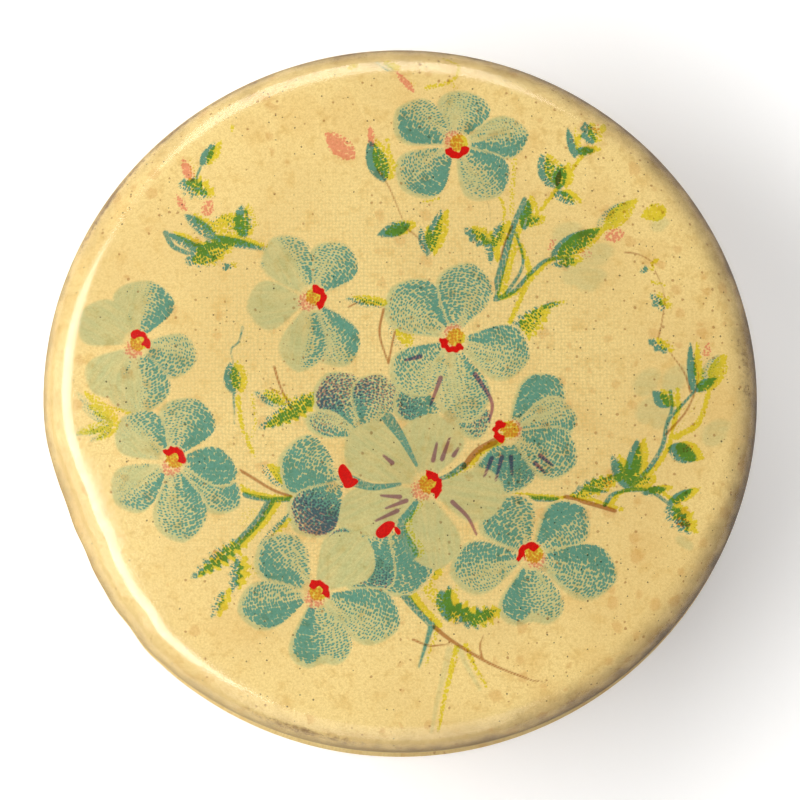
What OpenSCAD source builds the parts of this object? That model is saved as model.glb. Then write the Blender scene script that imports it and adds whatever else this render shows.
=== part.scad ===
// Pocket talcum powder tin: a celluloid-covered slip lid over a rotating sifter top.
// Millimetres, +Z up, origin at the middle of the foot, side seam at +Y.

/* [Lid] */
// Diameter of the lid across its rolled edge
lid_d = 57.2; // [54:0.2:60]
// Radius of the rolled edge, outside the celluloid
edge_r = 3.0; // [2.6:0.1:3.4]
// Rise of the middle of the face above the top of the rolled edge
dome_rise = 0.9; // [0.5:0.1:1.4]
// Height of the straight side below the rolled edge
side_h = 1.6; // [1.2:0.1:2.4]
// Depth of the skirt, from its lower bead to the flange under the face
skirt_h = 6.7; // [6.2:0.1:8]
// Width of the flange at the top of the skirt
flange_w = 2.8; // [2:0.2:5]
// Thickness of the celluloid film
film_t = 0.25; // [0.15:0.05:0.3]
// Thickness of the printed paper
paper_t = 0.12; // [0.08:0.02:0.2]
// Thickness of the card disc under the face
card_t = 0.8; // [0.5:0.1:1]

/* [Body] */
// Height of the side wall's top edge above the table
wall_top = 13.0; // [12:0.5:18]
// How far the lid stands out over the side wall
overhang = 1.1; // [1:0.1:1.5]
// Thickness of the tinplate
tin_t = 0.3; // [0.26:0.02:0.34]
// Height of the double seam round the bottom
seam_h = 2.0; // [1.6:0.1:2.4]
// Height of the recessed bottom panel's underside
panel_z = 2.2; // [1.6:0.1:2.6]
// Width of the side seam's lap
lap_w = 4.0; // [3:0.5:6]
// Depth of the neck ring below the side wall's top edge
neck_depth = 5.0; // [3:0.5:6]
// Depth of talc on the bottom panel
talc_h = 4.8; // [3:0.2:5.2]

/* [Sifter] */
// Diameter of a sifting hole
hole_d = 1.5; // [1:0.1:1.8]
// Number of holes in a ring
ring_count = 8; // [8:1:8]
// Radii of the rings of holes
ring_radii = [5.5, 9.0, 12.5];
// Radius of the turning shutter
shutter_r = 17.5; // [17:0.5:20]
// Width of the shutter's thumb tabs
tab_w = 7.0; // [5:0.5:9]
// Height of the shutter's thumb tabs
tab_h = 2.4; // [1.6:0.2:3]
// Radius at which the stop pin stands
stop_r = 15.2; // [14.8:0.1:15.4]

/* [Hidden] */
$fn = 96;

// Fits
lid_fit = 0.06;      // radial play between the skirt and the neck
turn_fit = 0.05;     // play round and under the turning shutter
rest_gap = 0.1;      // gap between the skirt and the side wall's top edge
tall = 40;           // taller than any piece, for cutting tools

// Main radii
lid_r = lid_d / 2;
wall_r = lid_r - overhang;
seam_r = wall_r + tin_t;
neck_r = wall_r - tin_t;
skirt_in = neck_r + lid_fit;
skirt_out = skirt_in + tin_t;

// Main heights
skirt_z = wall_top + rest_gap;
edge_z = skirt_z + skirt_h;
hem_z = edge_z - side_h;
neck_top = edge_z - 0.4;

// The covered face: a shallow sphere that runs smoothly into the rolled edge
roll_r = lid_r - edge_r;
face_h = edge_r + dome_rise;
dome_r = (pow(roll_r, 2) + pow(face_h, 2) - pow(edge_r, 2)) / (2 * dome_rise);
dome_z = edge_z + face_h - dome_r;
dome_slope = asin(roll_r / (dome_r - edge_r));
wrap_t = film_t + paper_t;
hem_r = lid_r - wrap_t - tin_t / 2;
hem_out = wrap_t + tin_t / 2;

// Sifter
plate_z = wall_top - 0.6;
plate_top = plate_z + tin_t;
shutter_z = plate_top + turn_fit;
shutter_top = shutter_z + tin_t;
plate_r = neck_r - tin_t;
plate_rim_top = plate_z + 5.1;
bead_r = 21.5;
bead_w = 1.6;
bead_h = 0.35;
half_step = 180 / ring_count;
shank_r = 1.2;
pin_r = 0.6;
washer_r = 2.8;
washer_t = 0.2;
washer_z = shutter_top + 0.03;

function reverse(line) = [for (i = [len(line) - 1:-1:0]) line[i]];

// Points of an arc about (x, y), with its angles counted from +x towards +y
function arc(x, y, radius, from, to, steps) = [
  for (i = [0:steps])
    let (a = from + (to - from) * i / steps)
      [x + radius * cos(a), y + radius * sin(a)]
];

// The face's profile, inset from the outside, from the axis out to the side
function face_line(inset) = concat(
  [for (p = arc(0, dome_z, dome_r - inset, 90, 90 - dome_slope, 10)) [max(p[0], 0), p[1]]],
  [for (p = arc(roll_r, edge_z, edge_r - inset, 90 - dome_slope * 1.5, 0, 12)) p]
);

// The face's profile carried down the side and round the hem
function hem_line(inset) = concat(
  face_line(inset),
  arc(hem_r, hem_z, hem_out - inset, 0, -180, 8)
);

// The hem's profile carried up inside, where the skirt traps it
function tuck_line(inset) = concat(
  hem_line(inset),
  [[hem_r - hem_out + inset, edge_z]]
);

module ring(outer, inner, low, high) {
  rotate_extrude()
    translate([inner, low])
      square([outer - inner, high - low]);
}

// A sheet that is wrapped over the face and tucked up inside
module wrapped_sheet(inset, thickness) {
  rotate_extrude()
    polygon(concat(tuck_line(inset), reverse(tuck_line(inset + thickness))));
}

module hole_pattern(turn) {
  for (k = [0:len(ring_radii) - 1])
    for (i = [0:ring_count - 1])
      rotate((i * 2 + k) * half_step + turn)
        translate([ring_radii[k], 0, 0])
          cylinder(h = tall, d = hole_d, $fn = 32);
}

module celluloid_cover() {
  color([0.95, 0.84, 0.58, 0.4])
    wrapped_sheet(0, film_t);
}

module printed_paper() {
  color([0.93, 0.83, 0.57])
    wrapped_sheet(film_t, paper_t);
}

module lid_shell() {
  color([0.72, 0.72, 0.70])
    rotate_extrude()
      polygon(concat(hem_line(wrap_t), reverse(face_line(wrap_t + tin_t))));
}

module lid_liner() {
  color([0.76, 0.68, 0.54])
    translate([0, 0, edge_z])
      cylinder(h = card_t, r = skirt_in);
}

module lid_collet() {
  bead = 0.34;
  profile = concat(
    [[skirt_in, skirt_z]],
    arc(skirt_out, skirt_z + bead, bead, -90, 90, 8),
    [
      [skirt_out, edge_z],
      [skirt_in - flange_w, edge_z],
      [skirt_in - flange_w, edge_z - tin_t],
      [skirt_in, edge_z - tin_t]
    ]
  );
  color([0.76, 0.62, 0.34])
    rotate_extrude()
      polygon(profile);
}

module lap() {
  intersection() {
    ring(seam_r, wall_r, seam_h + 0.05, wall_top);
    translate([-lap_w / 2, 0, 0])
      cube([lap_w, lid_r, tall]);
  }
}

module body_wall() {
  color([0.78, 0.63, 0.34])
    union() {
      ring(wall_r, neck_r, 0.45, wall_top);
      lap();
    }
}

// Fillet of solder in the corner beside the lap
module side_seam_solder() {
  fillet = 0.28;
  x = lap_w / 2;
  foot = sqrt(pow(wall_r, 2) - pow(x, 2));
  color([0.62, 0.62, 0.60])
    translate([0, 0, seam_h + 0.05])
      linear_extrude(wall_top - seam_h - 0.05)
        polygon([
          [x, foot],
          [x + fillet, sqrt(pow(wall_r, 2) - pow(x + fillet, 2))],
          [x, foot + fillet]
        ]);
}

module body_bottom() {
  inner = neck_r - tin_t;
  edge = 0.25;
  profile = [
    [0, panel_z],
    [inner - 0.9, panel_z],
    [inner, panel_z - 0.5],
    [inner, edge],
    [inner + edge, 0],
    [seam_r - edge, 0],
    [seam_r, edge],
    [seam_r, seam_h],
    [wall_r, seam_h],
    [wall_r, 0.45],
    [neck_r, 0.45],
    [neck_r, panel_z - 0.3],
    [inner - 0.8, panel_z + tin_t],
    [0, panel_z + tin_t]
  ];
  color([0.78, 0.63, 0.34])
    rotate_extrude()
      polygon(profile);
}

module neck_ring() {
  curl = 0.42;
  curl_r = neck_r - curl;
  curl_z = neck_top - curl;
  profile = concat(
    [[neck_r - tin_t, wall_top - neck_depth], [neck_r, wall_top - neck_depth]],
    arc(curl_r, curl_z, curl, 0, 200, 10),
    arc(curl_r, curl_z, curl - tin_t, 200, 0, 6)
  );
  color([0.72, 0.72, 0.70])
    rotate_extrude()
      polygon(profile);
}

module sifter_plate() {
  half = bead_w / 2;
  profile = [
    [0, plate_z],
    [bead_r - half, plate_z],
    [bead_r - half / 2, plate_z + bead_h],
    [bead_r + half / 2, plate_z + bead_h],
    [bead_r + half, plate_z],
    [plate_r - 0.4, plate_z],
    [plate_r, plate_z + 0.4],
    [plate_r, plate_rim_top],
    [plate_r - tin_t, plate_rim_top],
    [plate_r - tin_t, plate_top + 0.3],
    [plate_r - tin_t - 0.3, plate_top],
    [bead_r + half, plate_top],
    [bead_r + half / 2, plate_top + bead_h],
    [bead_r - half / 2, plate_top + bead_h],
    [bead_r - half, plate_top],
    [0, plate_top]
  ];
  color([0.74, 0.73, 0.70])
    difference() {
      rotate_extrude()
        polygon(profile);
      hole_pattern(0);
      cylinder(h = tall, r = shank_r, $fn = 48);
      translate([0, stop_r, 0])
        cylinder(h = tall, r = pin_r, $fn = 32);
    }
}

// Tab cut from the shutter's edge and turned up
module thumb_tab() {
  translate([shutter_r - tin_t * 2.5, -tab_w / 2, shutter_z + tin_t / 2])
    cube([tin_t, tab_w, tab_h]);
}

// Slot that lets the shutter turn through half a hole step round the stop pin
module stop_slot() {
  slot_r = pin_r + turn_fit;
  from = 90 - half_step;
  outline = concat(
    arc(0, 0, stop_r + slot_r, from, 90, 8),
    arc(0, stop_r, slot_r, 90, 270, 10),
    arc(0, 0, stop_r - slot_r, 90, from, 8),
    arc(stop_r * cos(from), stop_r * sin(from), slot_r, from + 180, from + 360, 10)
  );
  linear_extrude(tall)
    polygon(outline);
}

module sifter_shutter() {
  color([0.76, 0.62, 0.34])
    difference() {
      union() {
        ring(shutter_r, shank_r + turn_fit, shutter_z, shutter_top);
        for (a = [0, 180])
          rotate(a)
            thumb_tab();
      }
      hole_pattern(half_step);
      stop_slot();
    }
}

// A round-headed fastener: a foot under the plate, a shank and a domed head
module headed_pin(shank, foot_r, head_r, head_z, head_h) {
  foot_z = plate_z - tin_t;
  rotate_extrude()
    polygon([
      [0, foot_z],
      [foot_r, foot_z],
      [foot_r, plate_z],
      [shank, plate_z],
      [shank, head_z],
      [head_r, head_z],
      [head_r * 0.96, head_z + head_h * 0.35],
      [head_r * 0.78, head_z + head_h * 0.72],
      [head_r * 0.45, head_z + head_h * 0.94],
      [0, head_z + head_h]
    ]);
}

module sifter_rivet() {
  color([0.80, 0.66, 0.36])
    headed_pin(shank_r, 2.2, 2.4, washer_z + washer_t, 0.72);
}

module rivet_washer() {
  color([0.72, 0.71, 0.68])
    ring(washer_r, shank_r + turn_fit, washer_z, washer_z + washer_t);
}

module stop_pin() {
  color([0.72, 0.71, 0.68])
    translate([0, stop_r, 0])
      headed_pin(pin_r, 1.0, 1.1, shutter_top + 0.06, 0.4);
}

module talc_fill() {
  low = panel_z + tin_t;
  high = low + talc_h;
  fill_r = neck_r - 0.1;
  color([0.96, 0.95, 0.92])
    rotate_extrude()
      polygon([
        [0, low],
        [fill_r, low],
        [fill_r, high - 0.5],
        [18, high - 0.25],
        [9, high],
        [0, high - 0.1]
      ]);
}

celluloid_cover();
printed_paper();
lid_shell();
lid_liner();
lid_collet();
body_wall();
side_seam_solder();
body_bottom();
neck_ring();
sifter_plate();
sifter_shutter();
sifter_rivet();
rivet_washer();
stop_pin();
talc_fill();
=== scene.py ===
"""Looks of the pocket talcum powder tin: a celluloid-covered floral lid over a sifter-top tin."""
import math

import bmesh
import bpy
import numpy as np
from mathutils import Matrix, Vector


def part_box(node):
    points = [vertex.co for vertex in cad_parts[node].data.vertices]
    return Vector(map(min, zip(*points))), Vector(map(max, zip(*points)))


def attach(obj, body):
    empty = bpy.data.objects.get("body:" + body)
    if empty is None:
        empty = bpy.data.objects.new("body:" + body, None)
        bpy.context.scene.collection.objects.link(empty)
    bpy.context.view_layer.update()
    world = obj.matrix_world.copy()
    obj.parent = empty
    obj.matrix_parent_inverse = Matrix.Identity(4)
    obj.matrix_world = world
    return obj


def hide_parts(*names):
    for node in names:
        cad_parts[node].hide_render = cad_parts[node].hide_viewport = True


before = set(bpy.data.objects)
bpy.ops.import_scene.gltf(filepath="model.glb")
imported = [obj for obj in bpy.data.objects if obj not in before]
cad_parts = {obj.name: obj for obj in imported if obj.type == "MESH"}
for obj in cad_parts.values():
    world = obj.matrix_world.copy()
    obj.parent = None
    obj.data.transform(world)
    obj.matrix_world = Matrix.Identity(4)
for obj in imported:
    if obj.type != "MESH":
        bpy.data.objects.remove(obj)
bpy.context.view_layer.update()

MM = 0.001

# ---------------------------------------------------------------- sizes from the frame, in mm


def span(node):
    """Lowest and highest corner of a CAD node, in mm."""
    low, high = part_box(node)
    return [c / MM for c in low], [c / MM for c in high]


FILM_BOX = span("celluloid_cover")
PAPER_BOX = span("printed_paper")
SHELL_BOX = span("lid_shell")
LID_R = FILM_BOX[1][0]
LID_TOP = FILM_BOX[1][2]
HEM_LOW = FILM_BOX[0][2]
FILM_T = LID_TOP - PAPER_BOX[1][2]
PAPER_T = PAPER_BOX[1][2] - SHELL_BOX[1][2]
TIN_T = 0.3
EDGE_R = 3.0
DOME_RISE = 0.9
EDGE_Z = LID_TOP - EDGE_R - DOME_RISE
ROLL_R = LID_R - EDGE_R
HEM_OUT = FILM_T + PAPER_T + TIN_T / 2
DENT = 0.72
HEM_Z = HEM_LOW + HEM_OUT
FACE_H = EDGE_R + DOME_RISE
DOME_R = (ROLL_R**2 + FACE_H**2 - EDGE_R**2) / (2 * DOME_RISE)
SLOPE = math.asin(ROLL_R / (DOME_R - EDGE_R))

# Lengths of the profile's stretches: dome, rolled edge, straight side, hem, tuck
STRETCHES = [
    DOME_R * SLOPE,
    EDGE_R * (math.pi / 2 - SLOPE),
    EDGE_Z - HEM_Z,
    HEM_OUT * math.pi,
    EDGE_Z - HEM_Z - 0.1,
]
STARTS = np.cumsum([0.0] + STRETCHES)
WRAP = STARTS[-1]


def profile(s, inset):
    """Radius and height, in mm, at distance s along the outside of the lid, at a depth below it."""
    s = np.asarray(s, float)
    a = s / DOME_R
    r, z = DOME_R * np.sin(a), LID_TOP - DOME_R + DOME_R * np.cos(a)
    nr, nz = np.sin(a), np.cos(a)

    t = SLOPE + (s - STARTS[1]) / EDGE_R
    on = s > STARTS[1]
    r, z = np.where(on, ROLL_R + EDGE_R * np.sin(t), r), np.where(on, EDGE_Z + EDGE_R * np.cos(t), z)
    nr, nz = np.where(on, np.sin(t), nr), np.where(on, np.cos(t), nz)

    on = s > STARTS[2]
    r, z = np.where(on, LID_R, r), np.where(on, EDGE_Z - (s - STARTS[2]), z)
    nr, nz = np.where(on, 1.0, nr), np.where(on, 0.0, nz)

    t = (s - STARTS[3]) / HEM_OUT
    on = s > STARTS[3]
    hem_r = LID_R - HEM_OUT
    r, z = np.where(on, hem_r + HEM_OUT * np.cos(t), r), np.where(on, HEM_Z - HEM_OUT * np.sin(t), z)
    nr, nz = np.where(on, np.cos(t), nr), np.where(on, -np.sin(t), nz)

    on = s > STARTS[4]
    r, z = np.where(on, hem_r - HEM_OUT, r), np.where(on, HEM_Z + (s - STARTS[4]), z)
    nr, nz = np.where(on, -1.0, nr), np.where(on, 0.0, nz)
    return r - nr * inset, z - nz * inset


def smooth(x):
    x = np.clip(x, 0.0, 1.0)
    return x * x * (3 - 2 * x)


def waves(x, y, seed, pitch):
    """A soft random field of about the given pitch, from -1 to 1."""
    rng = np.random.default_rng(seed)
    total = np.zeros_like(x)
    for _ in range(10):
        turn, shift = rng.uniform(0, 2 * math.pi, 2)
        k = 2 * math.pi / (pitch * rng.uniform(0.7, 1.5))
        total += np.sin(k * (x * math.cos(turn) + y * math.sin(turn)) + shift)
    return total / 5


def dent(angle, r):
    """How far the lid's edge is pushed in, in mm: one flat dent at the lower left."""
    turn = np.degrees(angle) % 360
    deep = DENT * np.exp(-np.abs((turn - 202) / 12.5) ** 3)
    shallow = 0.30 * np.exp(-(((turn - 219) / 4.0) ** 2))
    ripple = 0.05 * np.sin(np.radians(turn) * 46) * np.exp(-(((turn - 212) / 16) ** 2))
    return (deep + shallow + ripple) * smooth((r - 20.5) / (LID_R - 20.5))


def lid_points(s, angle, inset):
    """Points of one layer of the lid, in metres. The dent squeezes the layers together at the side."""
    push = dent(angle, profile(s, 0.0)[0])
    squeeze = 1 - 0.62 * push / DENT * smooth((s - STARTS[1]) / 3)
    r, z = profile(s, inset * squeeze)
    push = push * (1 - smooth((s - STARTS[3]) / (STARTS[4] - STARTS[3])))
    oval = 1 - 0.011 * smooth((r - 10) / 18) * np.sin(angle) ** 2
    wobble = 0.012 * np.sin(angle * 5 + 1.0) * smooth((r - 20) / 8)
    sag = 0.25 * push * smooth((r - 24) / 4)
    r = (r - push) * np.where(s > STARTS[3], 1.0, oval) + np.where(s > STARTS[3], 0.0, wobble)
    return np.stack([r * np.cos(angle), r * np.sin(angle), z - sag], axis=-1) * MM


def disc_grid(n):
    """Quads that map a square grid onto a disc. Returns radius 0 to 1, angle and faces."""
    line = np.linspace(-1, 1, n + 1)
    a, b = np.meshgrid(line, line, indexing="xy")
    wide = np.abs(a) >= np.abs(b)
    radius = np.where(wide, a, b)
    ratio = np.where(wide, b / np.where(a == 0, 1, a), a / np.where(b == 0, 1, b))
    angle = np.where(wide, math.pi / 4 * ratio, math.pi / 2 - math.pi / 4 * ratio)
    angle = np.where(radius < 0, angle + math.pi, angle)
    radius = np.abs(radius)
    angle = np.where(radius == 0, 0, angle)
    i = np.arange(n)
    row, col = np.meshgrid(i, i, indexing="ij")
    first = (row * (n + 1) + col).ravel()
    faces = np.stack([first, first + 1, first + n + 2, first + n + 1], axis=1)
    return radius.ravel(), angle.ravel(), faces


def new_mesh(name, points, faces, materials, smooth_faces=True):
    """A mesh object from arrays of points and quads."""
    mesh = bpy.data.meshes.new(name)
    mesh.vertices.add(len(points))
    mesh.vertices.foreach_set("co", np.asarray(points, np.float32).ravel())
    mesh.loops.add(faces.size)
    mesh.loops.foreach_set("vertex_index", faces.ravel().astype(np.int32))
    mesh.polygons.add(len(faces))
    width = faces.shape[1]
    mesh.polygons.foreach_set("loop_start", np.arange(0, faces.size, width, dtype=np.int32))
    mesh.polygons.foreach_set("use_smooth", np.full(len(faces), smooth_faces))
    for material in materials:
        mesh.materials.append(material)
    mesh.update(calc_edges=True)
    mesh.validate()
    obj = bpy.data.objects.new(name, mesh)
    bpy.context.scene.collection.objects.link(obj)
    return obj


def store(mesh, name, values):
    """Keeps one vector a vertex as an attribute."""
    attribute = mesh.attributes.new(name, "FLOAT_VECTOR", "POINT")
    attribute.data.foreach_set("vector", np.asarray(values, np.float32).ravel())


# ---------------------------------------------------------------- the printed picture
# Places are in mm on the flat paper: +x right, +y up, from the middle of the lid.

PLATES = ["teal", "yellow", "pale", "red", "pink", "mauve", "brown", "halo", "stain", "teal_line", "mauve_line"]
YELLOW_SHIFT = (0.55, 0.12)
PALE_SHIFT = (-0.22, -0.10)
INK_EDGE = 0.16
LINE_EDGE = 0.42
LINE_PLATES = ("brown", "red", "stain", "teal_line", "mauve_line")


UNDER_PETALS = ("teal", "yellow", "mauve", "pink", "brown", "red", "teal_line", "mauve_line")


class Print:
    """The inks on the paper, one tone from 0 to 1 for each plate at each point."""

    def __init__(self, x, y):
        self.x, self.y = x, y
        self.ink = {plate: np.zeros_like(x) for plate in PLATES}
        self.grain = np.stack([x, y, np.zeros_like(x)], axis=1)
        self.offset = 0.0

    def local(self, origin, angle, reach, shift=(0, 0)):
        """Points near a shape, and their places along and across its axis."""
        dx = self.x - origin[0] - shift[0]
        dy = self.y - origin[1] - shift[1]
        near = np.flatnonzero(dx * dx + dy * dy < reach * reach)
        c, s = math.cos(math.radians(angle)), math.sin(math.radians(angle))
        return near, dx[near] * c + dy[near] * s, dy[near] * c - dx[near] * s

    def knock_out(self, near, depth, plates):
        """Clears inks under a shape, with a thin gap round it."""
        keep = 1 - smooth((depth + 0.22) / INK_EDGE)
        for plate in plates:
            self.ink[plate][near] *= keep

    def lay(self, plate, near, tone):
        self.ink[plate][near] = np.maximum(self.ink[plate][near], tone)

    def set_grain(self, near, inside, along, across):
        """Turns the stipple to follow the shape."""
        self.offset += 7.3
        pick = near[inside]
        self.grain[pick, 0] = along[inside] + self.offset
        self.grain[pick, 1] = across[inside]


def petal_depth(u, v, length, width, notch, curl):
    """Depth inside a petal's outline, its half width, and how far along and to the side a point is."""
    v = v - curl * (u / length) ** 2
    reach = length * (1 - notch * np.exp(-((v / (0.2 * width)) ** 2)))

    def half(t):
        t = np.clip(t, 0.0, 1.0)
        return width / 2 * np.maximum(np.sin(math.pi * t**1.72), 0.0) ** 0.70

    t = u / reach
    h = half(t)
    lean = (half(t + 0.02) - half(t - 0.02)) / (0.04 * length)
    depth = (h - np.abs(v)) / np.sqrt(1 + lean**2)
    depth = np.minimum(depth, (reach - u) * 1.2)
    depth = np.where(u < 0, -1.0, depth)
    return depth, h, np.clip(t, 0, 1), v / np.maximum(h, 0.08)


def petal(art, centre, angle, length, width, tone, lean, mauve=0.0, notch=0.0, curl=0.0, pale=1.0):
    """One petal. lean is how much darker one side is: + to the left as seen from the flower's centre."""
    near, u, v = art.local(centre, angle, length + 1.0)
    depth, h, t, side = petal_depth(u, v, length, width, notch, curl)
    art.knock_out(near, depth, UNDER_PETALS)
    mask = smooth(depth / INK_EDGE + 0.5)
    sign = 1 if lean >= 0 else -1
    dark_side = smooth((side * sign + 0.35) / 1.1)
    strength = tone + abs(lean)
    ink = (tone + abs(lean) * dark_side) * (0.25 + 0.75 * smooth((t - 0.14) / 0.30))
    ink *= 0.62 + 0.38 * smooth((depth + 0.05) / 0.55)
    ink *= 1 - 0.45 * mauve * smooth((t - 0.5) / 0.4)
    rim = smooth(1 - depth / 0.30) * smooth((side * sign + 0.1) / 0.6) * smooth((t - 0.08) / 0.15) * smooth((0.85 - t) / 0.2)
    ink += rim * (0.42 if strength > 0.2 else 0.0)
    wedge = np.exp(-((t / 0.30) ** 2)) * smooth((side * sign + 0.1) / 0.5)
    ink += 0.45 * wedge * min(1.0, 1.6 * strength)
    rays = smooth((np.sin(side * 8.0 + angle) - 0.1) / 0.5) * np.exp(-(((t - 0.30) / 0.15) ** 2))
    ink += 0.40 * rays * min(1.0, 1.3 * strength)
    glow = np.exp(-(((side + 0.35 * sign) / 0.5) ** 2) - (((t - 0.45) / 0.28) ** 2))
    ink -= 0.26 * glow * (1 if tone < 0.75 else 0.2)
    if strength > 0.02:
        art.lay("teal", near, np.clip(ink, 0, 0.86) * mask)
    if mauve:
        spread = np.exp(-(((t - 0.75) / 0.45) ** 2)) * (0.85 + 0.2 * side)
        art.lay("mauve", near, mauve * spread * mask)
    radius = np.hypot(u, v)
    art.set_grain(near, depth > -0.1, radius, v)
    near, u, v = art.local(centre, angle, length + 1.0, PALE_SHIFT)
    depth = petal_depth(u, v, length * 1.02, width * 1.05, notch * 0.6, curl)[0]
    art.lay("pale", near, pale * smooth(depth / 0.22 + 0.5) * (0.80 + 0.12 * waves(u, v, 5, 2.5)))


def eye(art, centre, facing, size=0.85):
    """A flower's centre: a red crescent on one side of a yellow and orange middle."""
    near, u, v = art.local(centre, facing, 2.6 * size)
    ragged = 0.15 * waves(u, v, int(facing) % 97, 0.6)
    radius = np.hypot(u, v) / size
    swing = np.abs(np.arctan2(v, u))
    disc = smooth((1.45 - radius) / 0.2)
    for plate in ["teal", "mauve", "brown", "yellow", "teal_line", "mauve_line"]:
        art.ink[plate][near] *= 1 - disc
    art.ink["pale"][near] *= 1 - 0.75 * smooth((1.5 - radius) / 0.5)
    inner = 0.62 + 0.16 * np.cos(swing * 3) + ragged
    depth = np.minimum(np.minimum(1.28 - radius + ragged, radius - inner) * size, (1.30 - swing) * radius + ragged)
    art.ink["red"][near] *= 1 - disc
    art.lay("red", near, np.clip(0.5 + depth / LINE_EDGE, 0, 1))
    middle = smooth((0.9 - np.hypot(u + 0.1 * size, v) / size) / 0.25)
    blush = smooth((1.15 - np.hypot(u + 0.55 * size, v + 0.2 * size) / size) / 0.5)
    art.lay("pink", near, np.maximum(0.55 * middle, 0.6 * blush))
    near, u, v = art.local(centre, facing, 2.6 * size, (0.2, 0.15))
    art.lay("yellow", near, 0.98 * smooth((0.95 - np.hypot(u, v) / size) / 0.2))


def curve_through(points, steps=8):
    """A smooth line through a few points."""
    pts = np.asarray(points, float)
    ends = np.vstack([2 * pts[0] - pts[1], pts, 2 * pts[-1] - pts[-2]])
    line = []
    for k in range(1, len(ends) - 2):
        p0, p1, p2, p3 = ends[k - 1 : k + 3]
        for t in np.arange(steps) / steps:
            line.append(
                0.5 * (2 * p1 + (p2 - p0) * t + (2 * p0 - 5 * p1 + 4 * p2 - p3) * t**2 + (3 * p1 - p0 - 3 * p2 + p3) * t**3)
            )
    line.append(pts[-1])
    return np.array(line)


SOLID = {"teal": "teal_line", "mauve": "mauve_line"}


def stroke(art, points, width, inks, taper=0.6):
    """A drawn line that thins towards its end. inks maps plate to tone."""
    line = curve_through(points)
    middle = line.mean(axis=0)
    reach = np.hypot(*(line - middle).T).max() + 1.2
    for plate, tone in inks.items():
        plate = SOLID.get(plate, plate)
        shift = YELLOW_SHIFT if plate == "yellow" else (0, 0)
        near, u, v = art.local(middle, 0, reach, shift)
        best = np.full(len(near), 9.0)
        for k in range(len(line) - 1):
            a, b = line[k] - middle, line[k + 1] - middle
            step = b - a
            along = np.clip(((u - a[0]) * step[0] + (v - a[1]) * step[1]) / (step @ step), 0, 1)
            gap = np.hypot(u - a[0] - along * step[0], v - a[1] - along * step[1])
            half = width / 2 * (1 - taper * (k + along) / (len(line) - 1))
            best = np.minimum(best, gap - half)
        edge = LINE_EDGE if plate in LINE_PLATES else INK_EDGE
        tone_here = tone * np.clip(0.5 - best / edge, 0, 1)
        art.lay(plate, near, tone_here)


def leaf(art, base, tip, width, teal=0.6, yellow=0.9, extra=None, saw=0.0):
    """A pointed leaf from base to tip. Its yellow is printed a little to one side."""
    dx, dy = tip[0] - base[0], tip[1] - base[1]
    length, angle = math.hypot(dx, dy), math.degrees(math.atan2(dy, dx))
    inks = {"teal": teal, "yellow": yellow}
    inks.update(extra or {})
    for plate, tone in inks.items():
        if tone <= 0:
            continue
        shift = YELLOW_SHIFT if plate == "yellow" else (0, 0)
        near, u, v = art.local(base, angle, length + 0.8, shift)
        t = np.clip(u / length, 0, 1)
        half = width / 2 * np.sin(math.pi * t**0.85) ** 0.8 * (1 + saw * np.sin(u * 9))
        depth = np.where((u < 0) | (u > length), -1, half - np.abs(v))
        shade = tone + 0.25 * v / width * 2 + 0.12 * waves(u, v, int(abs(angle)), 1.1)
        art.lay(plate, near, np.clip(shade, 0, 1.2) * smooth(depth / 0.2 + 0.5))
        if plate == "teal":
            art.set_grain(near, depth > -0.05, u * 1.1, v)


def blob(art, centre, size, inks, angle=0.0, flat=1.0, soft=0.3):
    """A soft oval spot."""
    for plate, tone in inks.items():
        shift = YELLOW_SHIFT if plate == "yellow" else (0, 0)
        near, u, v = art.local(centre, angle, size * 1.6, shift)
        radius = np.hypot(u, v / flat) / size + 0.12 * waves(u, v, 11, size)
        if plate in LINE_PLATES:
            art.lay(plate, near, np.clip(0.5 + (1 - radius) * size / LINE_EDGE, 0, 1))
        else:
            art.lay(plate, near, tone * smooth((1 - radius) / soft))


GREEN = {"teal": 0.85, "yellow": 1.0}
TWIG = {"brown": 0.9}
YELLOW = {"yellow": 0.95}
DARK_STEM = {"teal": 0.9, "yellow": 1.0, "brown": 0.45}


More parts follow.
